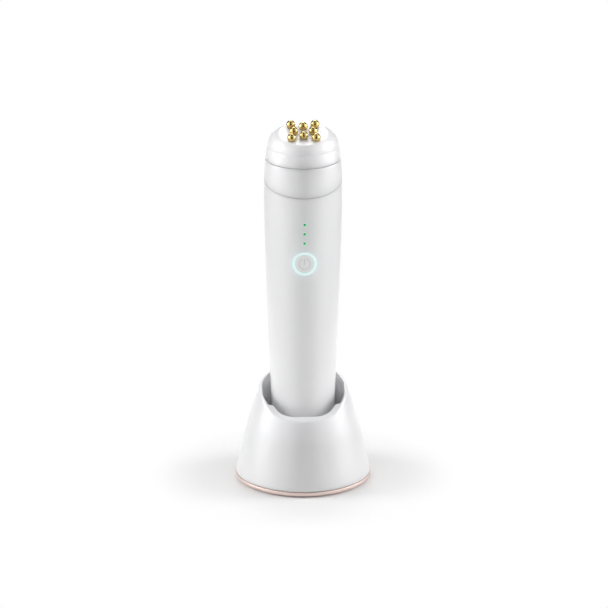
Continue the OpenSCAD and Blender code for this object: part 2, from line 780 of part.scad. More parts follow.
module cap_seal() color(rubber) difference() {
  wand_bore(cap_seam_h - seal_t, cap_seam_h, wand_r(cap_seam_h) - seal_inset);
  wand_bore(cap_seam_h - seal_t - over, ridge_h, cap_spigot_r + fit_gap);
}

// The band and the dome on it, less a wall
module dome_solid(wall) translate([0, 0, wand_z + ridge_h]) rotate_extrude($fn = fine) {
  top = dome_h * dome_share;
  band_steps = 4;
  polygon([
    [0, -band_h],
    for (i = [0:band_steps])
      [wand_r(cap_seam_h + band_h * i / band_steps) - wall, band_h * (i / band_steps - 1)],
    for (i = [0:dome_steps])
      [max(dome_radius(top * i / dome_steps) - wall, over / 2), top * i / dome_steps],
    [0, top]
  ]);
}

module below_face(depth) on_face() translate([0, 0, -cut_size / 2 - depth])
  cube(cut_size, center = true);

module head_cap() color(pearl) difference() {
  union() {
    intersection() {
      dome_solid(0);
      below_face(0);
    }
    wand_bore(cap_seam_h - cap_spigot_below, cap_seam_h + cap_spigot_above, cap_spigot_r);
  }
  intersection() {
    dome_solid(wand_wall);
    below_face(face_wall);
    wand_bore(cap_seam_h + spigot_wall, ridge_h + dome_h, belly_r);
  }
  wand_bore(cap_seam_h - cap_spigot_below - over, cap_seam_h + cap_spigot_above,
    cap_spigot_r - spigot_wall);
  on_face() for (p = electrode_places) translate([p[0], -p[1], 0]) {
    translate([0, 0, ball_lift]) sphere(r = ball_r + fit_gap, $fn = round_fn);
    translate([0, 0, -face_wall - over])
      cylinder(h = face_wall + over, r = stem_r + fit_gap, $fn = round_fn);
  }
}

module electrode(i) color(gold) on_face()
  translate([electrode_places[i][0], -electrode_places[i][1], 0]) {
    translate([0, 0, ball_lift]) sphere(r = ball_r, $fn = round_fn);
    translate([0, 0, -electrode_board_depth])
      cylinder(h = electrode_board_depth, r = stem_r, $fn = round_fn);
  }

module electrode_board() color(board_green) on_face()
  translate([0, 0, -electrode_board_depth - electrode_board_t])
    cylinder(h = electrode_board_t, r = electrode_board_r, $fn = fine);

// Ribbon cable from the top of the main board up to the electrode board
module head_ribbon() color(film_amber) difference() {
  translate([-ribbon_w / 2, -board_front - ribbon_t, wand_z + board_h1 - ribbon_tail])
    cube([ribbon_w, ribbon_t, ridge_h + face_h - board_h1 + ribbon_tail]);
  on_face() translate([0, 0, cut_size / 2 - electrode_board_depth - electrode_board_t])
    cube(cut_size, center = true);
}

stand_shell();
trim_ring();
base_plate();
ballast_plate();
foot(foot_places[0]);  // foot_front
foot(foot_places[1]);  // foot_right
foot(foot_places[2]);  // foot_back
foot(foot_places[3]);  // foot_left
base_screws();
stand_board();
stand_board_screws();
inlet_shell();
inlet_tongue();
pin_block();
pin_barrel(-1);  // pin_barrel_left
pin_barrel(1);  // pin_barrel_right
pin_spring(-1);  // pin_spring_left
pin_spring(1);  // pin_spring_right
charge_pin(-1);  // pin_left
charge_pin(1);  // pin_right
handle_shell();
bottom_cap();
contact(-1);  // contact_left
contact(1);  // contact_right
charge_leads();
inner_frame();
battery_cell();
cell_tabs();
main_board();
main_board_screws();
switch_case();
switch_plunger();
button_cap();
light_ring();
ring_leds();
level_leds();
level_pipe(0);  // level_pipe_1
level_pipe(1);  // level_pipe_2
level_pipe(2);  // level_pipe_3
neck_seal();
head_ring();
cap_seal();
head_cap();
electrode(0);  // electrode_1
electrode(1);  // electrode_2
electrode(2);  // electrode_3
electrode(3);  // electrode_4
electrode(4);  // electrode_5
electrode(5);  // electrode_6
electrode(6);  // electrode_7
electrode(7);  // electrode_8
electrode_board();
head_ribbon();
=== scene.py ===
# %% [markdown]
# # A facial toning wand in its stand
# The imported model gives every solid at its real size, and this lesson dresses it. The shells that
# catch the light are modelled again with smooth surfaces, and the small inner pieces keep their
# solids and only get a finish. All lengths are metres, and the front of the object faces -Y.

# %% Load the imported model
import json
import math
import bpy
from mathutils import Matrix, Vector


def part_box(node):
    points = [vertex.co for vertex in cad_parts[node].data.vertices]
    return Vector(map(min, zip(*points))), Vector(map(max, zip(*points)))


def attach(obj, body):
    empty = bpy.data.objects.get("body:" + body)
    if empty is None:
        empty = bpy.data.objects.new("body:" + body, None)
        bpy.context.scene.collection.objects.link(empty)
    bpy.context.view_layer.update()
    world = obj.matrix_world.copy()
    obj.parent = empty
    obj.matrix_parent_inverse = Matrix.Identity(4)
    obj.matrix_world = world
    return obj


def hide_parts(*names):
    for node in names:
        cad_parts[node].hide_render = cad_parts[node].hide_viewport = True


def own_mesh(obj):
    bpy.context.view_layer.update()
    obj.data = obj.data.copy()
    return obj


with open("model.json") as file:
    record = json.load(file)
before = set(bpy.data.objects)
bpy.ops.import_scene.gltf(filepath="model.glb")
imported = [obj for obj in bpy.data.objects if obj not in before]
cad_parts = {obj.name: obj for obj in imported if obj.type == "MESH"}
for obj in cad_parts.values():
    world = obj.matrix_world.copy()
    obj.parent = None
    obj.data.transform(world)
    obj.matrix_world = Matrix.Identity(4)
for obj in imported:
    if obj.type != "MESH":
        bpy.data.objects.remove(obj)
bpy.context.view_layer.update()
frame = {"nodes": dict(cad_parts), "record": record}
mm = 0.001


# %% Helper: measure a node
def half_width(node):
    """Half of a node's width, which is the radius of a round one."""
    low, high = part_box(node)
    return (high.x - low.x) / 2


def middle_z(node):
    """The height half-way up a node."""
    low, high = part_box(node)
    return (low.z + high.z) / 2


# %% [markdown]
# The frame knows where each solid lies, so most sizes are read from it. Only what a box can't tell,
# such as the curve of the barrel, is written here, with the same values as the part's source.

# %% Sizes of the wand
wand_low, wand_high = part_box("handle_shell")
wand_base = wand_low.z
belly_r = wand_high.x
belly_z = wand_base + 141 * mm
taper = 0.042
neck_round = 1.2 * mm
shoulder_h = 26 * mm
shoulder_drop = 1.7 * mm
wand_wall = 2 * mm
ridge_z = belly_z + shoulder_h


def barrel_r(z):
    """Radius of the wand's outline at a height."""
    if z < belly_z:
        return belly_r - (math.hypot(neck_round, taper * (belly_z - z)) - neck_round)
    return belly_r - shoulder_drop * ((z - belly_z) / shoulder_h) ** 3


print("wand from", round(wand_base, 4), "to ridge", round(ridge_z, 4), "radius", round(belly_r, 4))

# %% Sizes of the head
seam_z = wand_base + 149.9 * mm
seam_tilt = math.radians(14)
cap_seam_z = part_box("cap_seal")[1].z
seal_t = cap_seam_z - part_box("cap_seal")[0].z
dome_h = 14.1 * mm
dome_r = barrel_r(ridge_z) - 0.2 * mm
face_z = ridge_z + 9.1 * mm
face_tilt = math.radians(12.3)
dome_swell, dome_close, dome_end = 2.614, 1.0965, 0.985


def dome_outline_r(z):
    """Radius of the dome at a height, from its share of the way up."""
    share = min(max((z - ridge_z) / dome_h, 0), dome_end)
    return dome_r * (1 - share ** dome_swell) ** dome_close


print("seams at", round(seam_z, 4), round(cap_seam_z, 4), "face at", round(face_z, 4))

# %% Sizes of the stand
stand_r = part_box("stand_shell")[1].x
skirt_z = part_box("stand_shell")[0].z
rim_back_z = skirt_z + 52.7 * mm
lip_z = skirt_z + 35.6 * mm
cradle_floor_z = wand_base - 0.1 * mm
cradle_gap = 0.6 * mm
pocket_floor_z = 30 * mm
pocket_reach = barrel_r(pocket_floor_z) + cradle_gap + 4.7 * mm
recess_floor_z = 37.5 * mm
recess_side = barrel_r(recess_floor_z) + cradle_gap
recess_reach = recess_side + 4.45 * mm
rim_band = 1.2 * mm
skirt_slope, skirt_curve = 0.2037, 0.001387


def skirt_r(z):
    """Outside radius of the skirt at a height, worked out in millimetres."""
    h = (z - skirt_z) / mm
    return stand_r - (skirt_slope * h + skirt_curve * h * h) * mm


print("stand radius", round(stand_r, 4), "from", round(skirt_z, 4), "to", round(rim_back_z, 4))

# %% [markdown]
# ## Helpers for modelling by hand
# Blender's operators act on whatever is selected, so each helper first deselects everything. A
# lathe draws an outline point by point and spins it about the upright axis, which is how a turned
# or moulded round piece is usually made. Its faces are then turned outwards.

# %% Helper: start clean
def deselect():
    """Leave edit mode and select nothing."""
    if bpy.context.mode != "OBJECT":
        bpy.ops.object.mode_set(mode="OBJECT")
    bpy.ops.object.select_all(action="DESELECT")


def pick(obj):
    """Make one object the selected and active one."""
    deselect()
    obj.select_set(True)
    bpy.context.view_layer.objects.active = obj
    return obj


def copy_of(obj, name):
    """A copy with a mesh of its own."""
    copy = obj.copy()
    copy.data = obj.data.copy()
    copy.name = name
    bpy.context.collection.objects.link(copy)
    return copy


# %% Helper: spin an outline
def lathe(name, outline, steps=256):
    """Spin a list of (radius, height) points about Z. A first point given again closes the ring."""
    deselect()
    bpy.ops.mesh.primitive_plane_add(size=mm, location=(0, 0, 0))
    obj = bpy.context.object
    obj.name = name
    bpy.ops.object.mode_set(mode="EDIT")
    bpy.ops.mesh.select_mode(type="VERT")
    bpy.ops.mesh.select_all(action="SELECT")
    bpy.ops.mesh.merge(type="CENTER")
    bpy.ops.transform.translate(value=(outline[0][0], 0, outline[0][1]))
    for (r0, z0), (r1, z1) in zip(outline, outline[1:]):
        bpy.ops.mesh.extrude_vertices_move(TRANSFORM_OT_translate={"value": (r1 - r0, 0, z1 - z0)})
    bpy.ops.mesh.select_all(action="SELECT")
    bpy.ops.mesh.spin(steps=steps, angle=2 * math.pi, center=(0, 0, 0), axis=(0, 0, 1))
    bpy.ops.mesh.select_all(action="SELECT")
    bpy.ops.mesh.remove_doubles(threshold=1e-6)
    bpy.ops.mesh.normals_make_consistent(inside=False)
    bpy.ops.object.mode_set(mode="OBJECT")
    return obj


def arc(centre, radius, start, end, steps=6):
    """Points on a quarter or any other part of a circle, with angles in degrees."""
    points = []
    for i in range(steps + 1):
        a = math.radians(start + (end - start) * i / steps)
        points.append((centre[0] + radius * math.cos(a), centre[1] + radius * math.sin(a)))
    return points


def spread(low, high, step):
    """Evenly spaced values from low to high, about one step apart."""
    count = max(1, math.ceil((high - low) / step))
    return [low + (high - low) * i / count for i in range(count + 1)]


# %% Helper: cut, keep and finish
def combine(obj, cutter, operation="DIFFERENCE"):
    """Apply a Boolean modifier and remove the cutter."""
    pick(obj)
    modifier = obj.modifiers.new("cut", "BOOLEAN")
    modifier.object = cutter
    modifier.operation = operation
    modifier.solver = "EXACT"
    bpy.ops.object.modifier_apply(modifier=modifier.name)
    bpy.data.objects.remove(cutter)


def half_space(z, tilt, side, lift=0):
    """A big box whose face lies on a plane that leans forward; side 1 is above it, -1 below."""
    deselect()
    size = 0.12
    bpy.ops.mesh.primitive_cube_add(size=size, location=(0, 0, side * size / 2 + lift))
    box = bpy.context.object
    bpy.ops.object.transform_apply(location=True)
    box.rotation_euler = (tilt, 0, 0)
    box.location = (0, 0, z)
    bpy.ops.object.transform_apply(location=True, rotation=True)
    return box


def front_bar(radius, front, back, z, vertices=160):
    """A round bar along Y, for a hole or a plug in the front of the handle."""
    deselect()
    bpy.ops.mesh.primitive_cylinder_add(
        radius=radius, depth=front - back, vertices=vertices,
        location=(0, -(front + back) / 2, z), rotation=(math.pi / 2, 0, 0))
    bpy.ops.object.transform_apply(location=True, rotation=True)
    return bpy.context.object


def finish(obj, material, angle=35):
    """Shade smooth, but keep edges sharper than the angle, and give the piece its finish."""
    pick(obj)
    bpy.ops.object.shade_smooth_by_angle(angle=math.radians(angle))
    obj.data.materials.append(material)


def soften(obj, width, segments=3, angle=50):
    """Round the sharp edges with a Bevel modifier and apply it."""
    pick(obj)
    bevel = obj.modifiers.new("edge", "BEVEL")
    bevel.width = width
    bevel.segments = segments
    bevel.limit_method = "ANGLE"
    bevel.angle_limit = math.radians(angle)
    bevel.harden_normals = False
    bpy.ops.object.modifier_apply(modifier=bevel.name)


def bevel_edges(obj, chosen, width, segments, clamp=False):
    """Round the edges that a test on the places of their two ends picks."""
    pick(obj)
    bpy.ops.object.mode_set(mode="EDIT")
    bpy.ops.mesh.select_mode(type="EDGE")
    bpy.ops.mesh.select_all(action="DESELECT")
    bpy.ops.object.mode_set(mode="OBJECT")
    points = obj.data.vertices
    for edge in obj.data.edges:
        edge.select = chosen(*(points[i].co for i in edge.vertices))
    bpy.ops.object.mode_set(mode="EDIT")
    bpy.ops.mesh.bevel(offset=width, segments=segments, clamp_overlap=clamp)
    bpy.ops.object.mode_set(mode="OBJECT")


# %% [markdown]
# ## Shader maths as plain Python
# A material is a net of nodes. Writing it as expressions keeps it readable, so one small class
# wraps a socket: adding or multiplying two of them adds the Math node that does it. Every other
# node comes from its one make method.

# %% The socket class
class Wire:
    """A shader socket that can be used in Python expressions."""

    def __init__(self, tree, socket=None):
        self.tree = tree
        self.socket = socket

    def make(self, kind, settings=None, sockets=None, out=0):
        """Add a node: its settings first, then the values or links of its sockets."""
        node = self.tree.nodes.new(kind)
        for name, value in (settings or {}).items():
            setattr(node, name, value)
        for key, value in (sockets or {}).items():
            if isinstance(value, Wire):
                self.tree.links.new(value.socket, node.inputs[key])
            else:
                node.inputs[key].default_value = value
        return Wire(self.tree, node.outputs[out])

    def math(self, operation, *values):
        """Add a Math node."""
        return self.make("ShaderNodeMath", {"operation": operation}, dict(enumerate(values)))

    def __add__(self, other):
        return self.math("ADD", self, other)

    def __radd__(self, other):
        return self.math("ADD", other, self)

    def __sub__(self, other):
        return self.math("SUBTRACT", self, other)

    def __rsub__(self, other):
        return self.math("SUBTRACT", other, self)

    def __mul__(self, other):
        return self.math("MULTIPLY", self, other)

    def __rmul__(self, other):
        return self.math("MULTIPLY", other, self)

    def __truediv__(self, other):
        return self.math("DIVIDE", self, other)

    def __rtruediv__(self, other):
        return self.math("DIVIDE", other, self)

    def __pow__(self, other):
        return self.math("POWER", self, other)

    def __abs__(self):
        return self.math("ABSOLUTE", self)

    def below(self, edge, soft):
        """1 where the value is under an edge, falling to 0 over a soft band."""
        sockets = {"Value": self, "From Min": edge - soft, "From Max": edge + soft,
                   "To Min": 1.0, "To Max": 0.0}
        return self.make("ShaderNodeMapRange", {"interpolation_type": "SMOOTHSTEP"}, sockets)

    def clip(self):
        """The value, kept between 0 and 1."""
        return self.make("ShaderNodeClamp", None, {"Value": self})


# %% Helper: the usual parts of a material
def new_material(name):
    """A material with an empty net, and the wire that adds nodes to it."""
    material = bpy.data.materials.new(name)
    material.use_nodes = True
    material.node_tree.nodes.clear()
    return material, Wire(material.node_tree)


def output(material, shader):
    """Connect a shader to the material's surface."""
    end = material.node_tree.nodes.new("ShaderNodeOutputMaterial")
    material.node_tree.links.new(shader.socket, end.inputs["Surface"])
    return material


def place(net):
    """The point on the object, in metres."""
    return net.make("ShaderNodeTexCoord", out="Object")


def axes(net, vector):
    """The three parts of a vector, as three wires."""
    split = net.make("ShaderNodeSeparateXYZ", None, {"Vector": vector})
    outputs = split.socket.node.outputs
    return [Wire(net.tree, outputs[i]) for i in range(3)]


def noise(net, vector, per_metre, detail=3.0, roughness=0.5, out="Fac"):
    """Blender's noise, with its size given as bumps per metre."""
    sockets = {"Vector": vector, "Scale": per_metre, "Detail": detail, "Roughness": roughness}
    return net.make("ShaderNodeTexNoise", None, sockets, out)


def mix(net, factor, first, second):
    """A blend of two colours, given as tuples or wires."""
    full = [c if isinstance(c, Wire) else (*c[:3], 1.0) for c in (first, second)]
    return net.make("ShaderNodeMix", {"data_type": "RGBA"}, {0: factor, 6: full[0], 7: full[1]}, 2)


def bump(net, height, distance, strength=1.0):
    """A normal from a height in units of the given distance."""
    return net.make("ShaderNodeBump", None,
                    {"Strength": strength, "Distance": distance, "Height": height})


def principled(net, **sockets):
    """The main shader. Underscores in the names stand for spaces."""
    return net.make("ShaderNodeBsdfPrincipled", None,
                    {name.replace("_", " "): value for name, value in sockets.items()})


# %% [markdown]
# ## Pearl plastic
# The stand, the handle and the head are moulded in one glossy pearl white. Real pearl plastic is
# nearly plain: mica flakes give it a faint cloud in its colour, the mould leaves a very fine orange
# peel in the gloss, and handling leaves the gloss a little uneven.

# %% Pearl plastic
pearl_white = (0.925, 0.925, 0.935)
pearl_shade = (0.895, 0.895, 0.91)


def pearl(net, painted_shade_tone, glow=None):
    """The pearl plastic shader, darkened by a tone that paints shade on the darker pieces, with an
    optional painted glow over it.
    """
    where = place(net)
    cloud = noise(net, where, 90, 4.0)
    flake = noise(net, where, 5200, 1.0)
    colour = mix(net, (cloud * 0.6 + flake * 0.4).clip(), [c * painted_shade_tone for c in pearl_shade],
                 [c * painted_shade_tone for c in pearl_white])
    peel = noise(net, where, 650, 2.0)
    gloss = 0.34 + noise(net, where, 35, 3.0) * 0.08
    sockets = dict(
        Base_Color=colour, Roughness=gloss, Normal=bump(net, peel, 0.012 * mm, 0.25), Metallic=0.1,
        Coat_Weight=0.18, Coat_Roughness=0.28, IOR=1.5, Subsurface_Weight=0.6,
        Subsurface_Radius=(1.0, 1.0, 1.0), Subsurface_Scale=6 * mm)
    if glow is not None:
        sockets.update(Emission_Color=glow, Emission_Strength=1.0)
    return principled(net, **sockets)


# The head and the stand get darker tones than the handle: painted shade that tones down how
# brightly they are lit.
head_pearl, net = new_material("pearl_plastic_head")
output(head_pearl, pearl(net, 0.95))
stand_pearl, net = new_material("pearl_plastic_stand")
output(stand_pearl, pearl(net, 0.87))

# %% [markdown]
# The handle's pearl keeps the lightest tone, and a glow is painted into it round its lamps: a soft
# cyan halo round the button and a green one round each level light. This painted glow goes to
# Emission, so the plastic gives light though it is no lamp, and it fades with the distance from
# each lamp.

# %% Places of the button and the lights
button_r, glow_r = half_width("button_cap"), half_width("light_ring")
button_z = middle_z("button_cap")
level_zs = [middle_z(f"level_pipe_{i}") for i in (1, 2, 3)]
# Reach of the painted glow round the light ring and round each level light.
ring_halo, level_halo = 2.0 * mm, 1.6 * mm
print("button at", round(button_z, 4), "and its ring's radius", round(glow_r, 4))


# %% Pearl plastic with the lamps' painted halo
def off_centre(x, z, centre_z):
    """Distance from a height on the middle line, seen from straight ahead."""
    return (x * x + (z - centre_z) * (z - centre_z)) ** 0.5


def halo(x, z, centre_z, inner, reach):
    """A painted glow that falls from 1 at a radius to 0 at its reach."""
    fall = (1.0 - (off_centre(x, z, centre_z) - inner) / reach).clip()
    return fall * fall * fall


def painted_lamp_glow(net):
    """Painted glow: cyan round the button and green round the level lights, on the front only."""
    x, y, z = axes(net, place(net))
    front = y.below(0.0, 1 * mm)
    by_ring = halo(x, z, button_z, glow_r - 0.4 * mm, ring_halo) * front
    by_levels = sum(halo(x, z, centre, 0.5 * mm, level_halo) for centre in level_zs) * front
    cyan = mix(net, by_ring, (0, 0, 0), (0.01, 0.12, 0.115))
    green = mix(net, by_levels.clip(), (0, 0, 0), (0.02, 0.22, 0.09))
    return net.make("ShaderNodeMix", {"data_type": "RGBA", "blend_type": "ADD"},
                    {0: 1.0, 6: cyan, 7: green}, 2)


# The handle's pearl, with the painted glow round its lamps as Emission.
glowing_pearl, net = new_material("pearl_plastic_with_halo")
output(glowing_pearl, pearl(net, 1.0, painted_lamp_glow(net)))

# %% [markdown]
# The button carries the usual power mark, a ring that is open at the top with a short bar in the
# gap. It is printed, so it changes only the colour: each stroke is a distance from a circle or a
# line, compared with half of the stroke's width.

# %% Button plastic with its power mark
mark_r, half_stroke = 2.9 * mm, 0.26 * mm
half_gap = 1.1 * mm
bar_middle, half_bar = 1.3 * mm, 1.65 * mm
ink_edge = 0.04 * mm
ink_strength = 0.35


def power_mark(net):
    """1 on the strokes of the power mark, 0 elsewhere."""
    x, y, z = axes(net, place(net))
    up = z - button_z
    ring = abs(off_centre(x, z, button_z) - mark_r).below(half_stroke, ink_edge)
    gap = abs(x).below(half_gap, ink_edge) * (0.0 - up).below(0.0, ink_edge)
    bar = abs(x).below(half_stroke, ink_edge) * abs(up - bar_middle).below(half_bar, ink_edge)
    return (ring * (1.0 - gap) + bar).clip()


button_plastic, net = new_material("button_plastic")
where = place(net)
shade = mix(net, noise(net, where, 90, 4.0), (0.86, 0.865, 0.87), (0.89, 0.895, 0.90))
colour = mix(net, power_mark(net) * ink_strength, shade, (0.46, 0.48, 0.49))
x, y, z = axes(net, where)
# Painted glow: the button's rim next to the light ring gets a cyan Emission that stands in for the
# ring's light.
edge = ((off_centre(x, z, button_z) - glow_r * 0.62) / (glow_r * 0.3)).clip()
output(button_plastic, principled(
    net, Base_Color=colour, Roughness=0.28 + noise(net, where, 60) * 0.08,
    Normal=bump(net, noise(net, where, 900, 2.0), 0.01 * mm, 0.3), Coat_Weight=0.15,
    Coat_Roughness=0.15, Emission_Color=mix(net, edge * edge, (0, 0, 0), (0.03, 0.14, 0.135)),
    Emission_Strength=1.0))

# %% [markdown]
# ## Lit plastics
# The light ring is a milky tube that a few small lamps fill, so it is brightest in its middle and
# the lamps show as a slight unevenness. The level lights are small clear green dots.

# %% Light ring and level lights
tube_r = glow_r - 0.42 * mm
level_r = 0.65 * mm
ring_light, net = new_material("light_diffuser")
where = place(net)
x, y, z = axes(net, where)
middle = abs(off_centre(x, z, button_z) - tube_r).below(0.22 * mm, 0.2 * mm)
uneven = noise(net, where, 300, 2.0) * 0.2 + 0.85
glow = mix(net, (middle * uneven).clip(), (0.50, 0.70, 0.70), (0.95, 0.98, 0.96))
output(ring_light, principled(
    net, Base_Color=(0.35, 0.5, 0.5, 1), Roughness=0.3 + noise(net, where, 400) * 0.1,
    Emission_Color=glow, Emission_Strength=0.7))

level_light, net = new_material("level_light")
where = place(net)
x, y, z = axes(net, where)
spots = sum((off_centre(x, z, centre) / level_r).below(0.5, 0.5) for centre in level_zs)
output(level_light, principled(
    net, Base_Color=(0.01, 0.2, 0.08, 1), Roughness=0.15 + noise(net, where, 800) * 0.1,
    Emission_Color=mix(net, spots.clip(), (0.01, 0.22, 0.06), (0.03, 0.5, 0.12)),
    Emission_Strength=0.9))

# %% [markdown]
# ## Metals
# The trim ring is rose-gold plate over a turned ring, so fine lines run round it. The balls are
# polished gold, with only hair-fine wiping marks. Both are seen mostly by what they reflect.

# %% Rose gold and gold
rose_gold, net = new_material("rose_gold_trim")
where = place(net)
x, y, z = axes(net, where)
lines = noise(net, net.make("ShaderNodeCombineXYZ", None, {"Z": z}), 9000, 2.0)
stain = noise(net, where, 70, 3.0)
output(rose_gold, principled(
    net, Base_Color=mix(net, stain, (0.80, 0.65, 0.60), (0.84, 0.70, 0.65)), Metallic=0.85,
    Roughness=0.38 + lines * 0.1 + stain * 0.05, Normal=bump(net, lines, 0.004 * mm, 0.4)))

gold, net = new_material("gold_plate")
where = place(net)
wiping = noise(net, net.make("ShaderNodeMapping", None,
                             {"Vector": where, "Scale": (3.0, 3.0, 0.4)}), 4000, 2.0)
stain = noise(net, where, 400, 3.0)
output(gold, principled(
    net, Base_Color=mix(net, stain, (0.62, 0.46, 0.17), (0.68, 0.51, 0.2)), Metallic=1.0,
    Roughness=0.03 + wiping * 0.03 + stain * 0.02, Normal=bump(net, wiping, 0.003 * mm, 0.3)))


# %% Steel and brass
def metal(name, dark, light, base_roughness, lines_per_metre):
    """A turned or rolled metal with fine lines in one direction."""
    material, net = new_material(name)
    where = place(net)
    stretched = net.make("ShaderNodeMapping", None, {"Vector": where, "Scale": (1.0, 0.06, 1.0)})
    lines = noise(net, stretched, lines_per_metre, 3.0)
    stain = noise(net, where, 250, 3.0)
    return output(material, principled(
        net, Base_Color=mix(net, stain, dark, light), Metallic=1.0,
        Roughness=base_roughness + lines * 0.15, Normal=bump(net, lines, 0.004 * mm, 0.5)))


steel = metal("steel", (0.52, 0.53, 0.55), (0.62, 0.63, 0.65), 0.28, 3500)
spring_steel = metal("spring_steel", (0.42, 0.43, 0.45), (0.5, 0.5, 0.52), 0.22, 6000)
brass = metal("pin_brass", (0.6, 0.42, 0.17), (0.7, 0.5, 0.22), 0.25, 6000)


# %% [markdown]
# ## Rubber, seams and inner plastics
# Rubber is dull and picks up dust, moulded inner plastics carry the fine grain of a spark-eroded
# mould, and shrink wrap has a soft shine. One function makes them all from a few values.

# %% Dull plastics and rubbers
def moulded(name, dark, light, roughness, grain_per_metre, grain_depth, coat=0.0):
    """A plastic or rubber with mottled colour and a fine moulded grain."""
    material, net = new_material(name)
    where = place(net)
    grain = noise(net, where, grain_per_metre, 2.0, 0.6)
    mottle = noise(net, where, 160, 4.0)
    return output(material, principled(
        net, Base_Color=mix(net, (mottle * 0.7 + grain * 0.3).clip(), dark, light),
        Roughness=roughness + mottle * 0.12, Normal=bump(net, grain, grain_depth, 0.6),
        Coat_Weight=coat, Coat_Roughness=0.2))


foot_rubber = moulded(
    "foot_rubber", (0.02, 0.02, 0.022), (0.05, 0.05, 0.053), 0.62, 2600, 0.03 * mm)
seam_rubber = moulded("seam_rubber", (0.42, 0.415, 0.415), (0.5, 0.49, 0.49), 0.5, 2600, 0.01 * mm)
dark_plastic = moulded(
    "dark_plastic", (0.012, 0.012, 0.014), (0.03, 0.03, 0.033), 0.4, 3200, 0.02 * mm)
frame_plastic = moulded(
    "frame_plastic", (0.55, 0.56, 0.58), (0.64, 0.65, 0.67), 0.42, 3000, 0.02 * mm)
cell_wrap = moulded("cell_wrap", (0.01, 0.06, 0.22), (0.02, 0.09, 0.3), 0.22, 500, 0.02 * mm, 0.4)
lead_sheath = moulded(
    "lead_sheath", (0.28, 0.012, 0.01), (0.4, 0.02, 0.016), 0.35, 2000, 0.01 * mm)
led_chip = moulded("led_chip", (0.7, 0.68, 0.45), (0.85, 0.84, 0.65), 0.2, 3000, 0.01 * mm, 0.5)

# %% [markdown]
# A circuit board shows its copper as faint raised tracks under the green mask. A Brick texture
# gives a net of straight tracks, and the ribbon cable is the same idea with lines in one direction.

# %% Circuit board and ribbon
circuit_board, net = new_material("circuit_board")
where = place(net)
tracks = net.make(
    "ShaderNodeTexBrick", {"offset": 0.37, "squash": 1.7},
    {"Vector": where, "Scale": 420.0, "Mortar Size": 0.09, "Mortar Smooth": 0.2}, "Fac")
weave = noise(net, where, 2400, 2.0)
output(circuit_board, principled(
    net, Base_Color=mix(net, tracks, (0.012, 0.12, 0.055), (0.03, 0.24, 0.11)),
    Roughness=0.3 + weave * 0.12, Normal=bump(net, tracks * 0.7 + weave * 0.3, 0.03 * mm, 0.5),
    Coat_Weight=0.3, Coat_Roughness=0.2))

track_waves = 5000.0
ribbon_film, net = new_material("ribbon_film")
where = place(net)
x, y, z = axes(net, where)
tracks = net.math("SINE", x * track_waves).below(0.0, 0.4)
output(ribbon_film, principled(
    net, Base_Color=mix(net, tracks, (0.5, 0.2, 0.03), (0.62, 0.3, 0.1)),
    Roughness=0.25 + noise(net, where, 600) * 0.1, Normal=bump(net, tracks, 0.02 * mm, 0.5)))

# %% [markdown]
# ## The handle
# The handle is one tall moulding: a barrel that swells gently to its widest place near the head. It
# could be a stretched cylinder, but only a spun outline follows the barrel's own formula. The wall
# is spun with it, then the top is cut along the tilted seam, and the button and the lights get
# their holes.

# %% The handle's outline
hole_gap = 0.05 * mm
seam_room = 7 * mm
tail_round = 1.5 * mm
tail_z = wand_base + tail_round
tail_floor_z = wand_base + 4 * mm
tail_hole_r = half_width("bottom_cap") + hole_gap
outside = [(barrel_r(z), z) for z in spread(tail_z, seam_z + seam_room, 2.2 * mm)]
tail = arc((barrel_r(tail_z) - tail_round, tail_z), tail_round, -90, 0)
inside = [(r - wand_wall, z) for r, z in outside if z > tail_floor_z]
outline = [(tail_hole_r, wand_base), *tail, *outside[1:], *reversed(inside),
           (tail_hole_r, tail_floor_z), (tail_hole_r, wand_base)]
handle = lathe("handle", outline)
print("handle:", len(handle.data.vertices), "points")

# %% Cut the seam and the holes
combine(handle, half_space(seam_z, seam_tilt, 1, -seal_t / 2))
hole_front, hole_back = belly_r + mm, 12 * mm
combine(handle, front_bar(glow_r + hole_gap, hole_front, hole_back, button_z))
for z in level_zs:
    combine(handle, front_bar(level_r + hole_gap, hole_front, hole_back, z, 32))
finish(handle, glowing_pearl)
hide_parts("handle_shell")
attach(handle, "wand")
print("handle after cuts:", len(handle.data.polygons), "faces")

# %% [markdown]
# ## The button, its ring and the level lights
# The front of each of these follows the barrel, so that a finger feels one surface. The easy way to
# get that is to make each as a straight bar and keep only what lies inside a copy of the barrel.

# %% Plugs that follow the barrel
def barrel_plug(name, radius, back, z, sink, vertices=160):
    """A round bar along Y whose front end is the barrel's own surface, sunk by a little."""
    heights = spread(z - radius - mm, z + radius + mm, mm)
    body = [(0, heights[0]), *[(barrel_r(h) - sink, h) for h in heights], (0, heights[-1])]
    barrel = lathe("barrel", body)
    plug = front_bar(radius, hole_front, back, z, vertices)
    combine(plug, barrel, "INTERSECT")
    plug.name = name
    return plug


button = barrel_plug("button", button_r, -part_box("button_cap")[1].y, button_z, 0.12 * mm)
soften(button, 0.22 * mm, 4)
finish(button, button_plastic)
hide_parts("button_cap")
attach(button, "button")
print("button:", len(button.data.polygons), "faces")

# %% The light ring
ring_bore_r = button_r + 0.06 * mm
light_ring = barrel_plug("glow_ring", glow_r, -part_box("light_ring")[1].y, button_z, 0.03 * mm)
combine(light_ring, front_bar(ring_bore_r, belly_r + 2 * mm, 0, button_z))
soften(light_ring, 0.12 * mm)
finish(light_ring, ring_light)
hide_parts("light_ring")
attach(light_ring, "wand")
print("light ring:", len(light_ring.data.polygons), "faces")

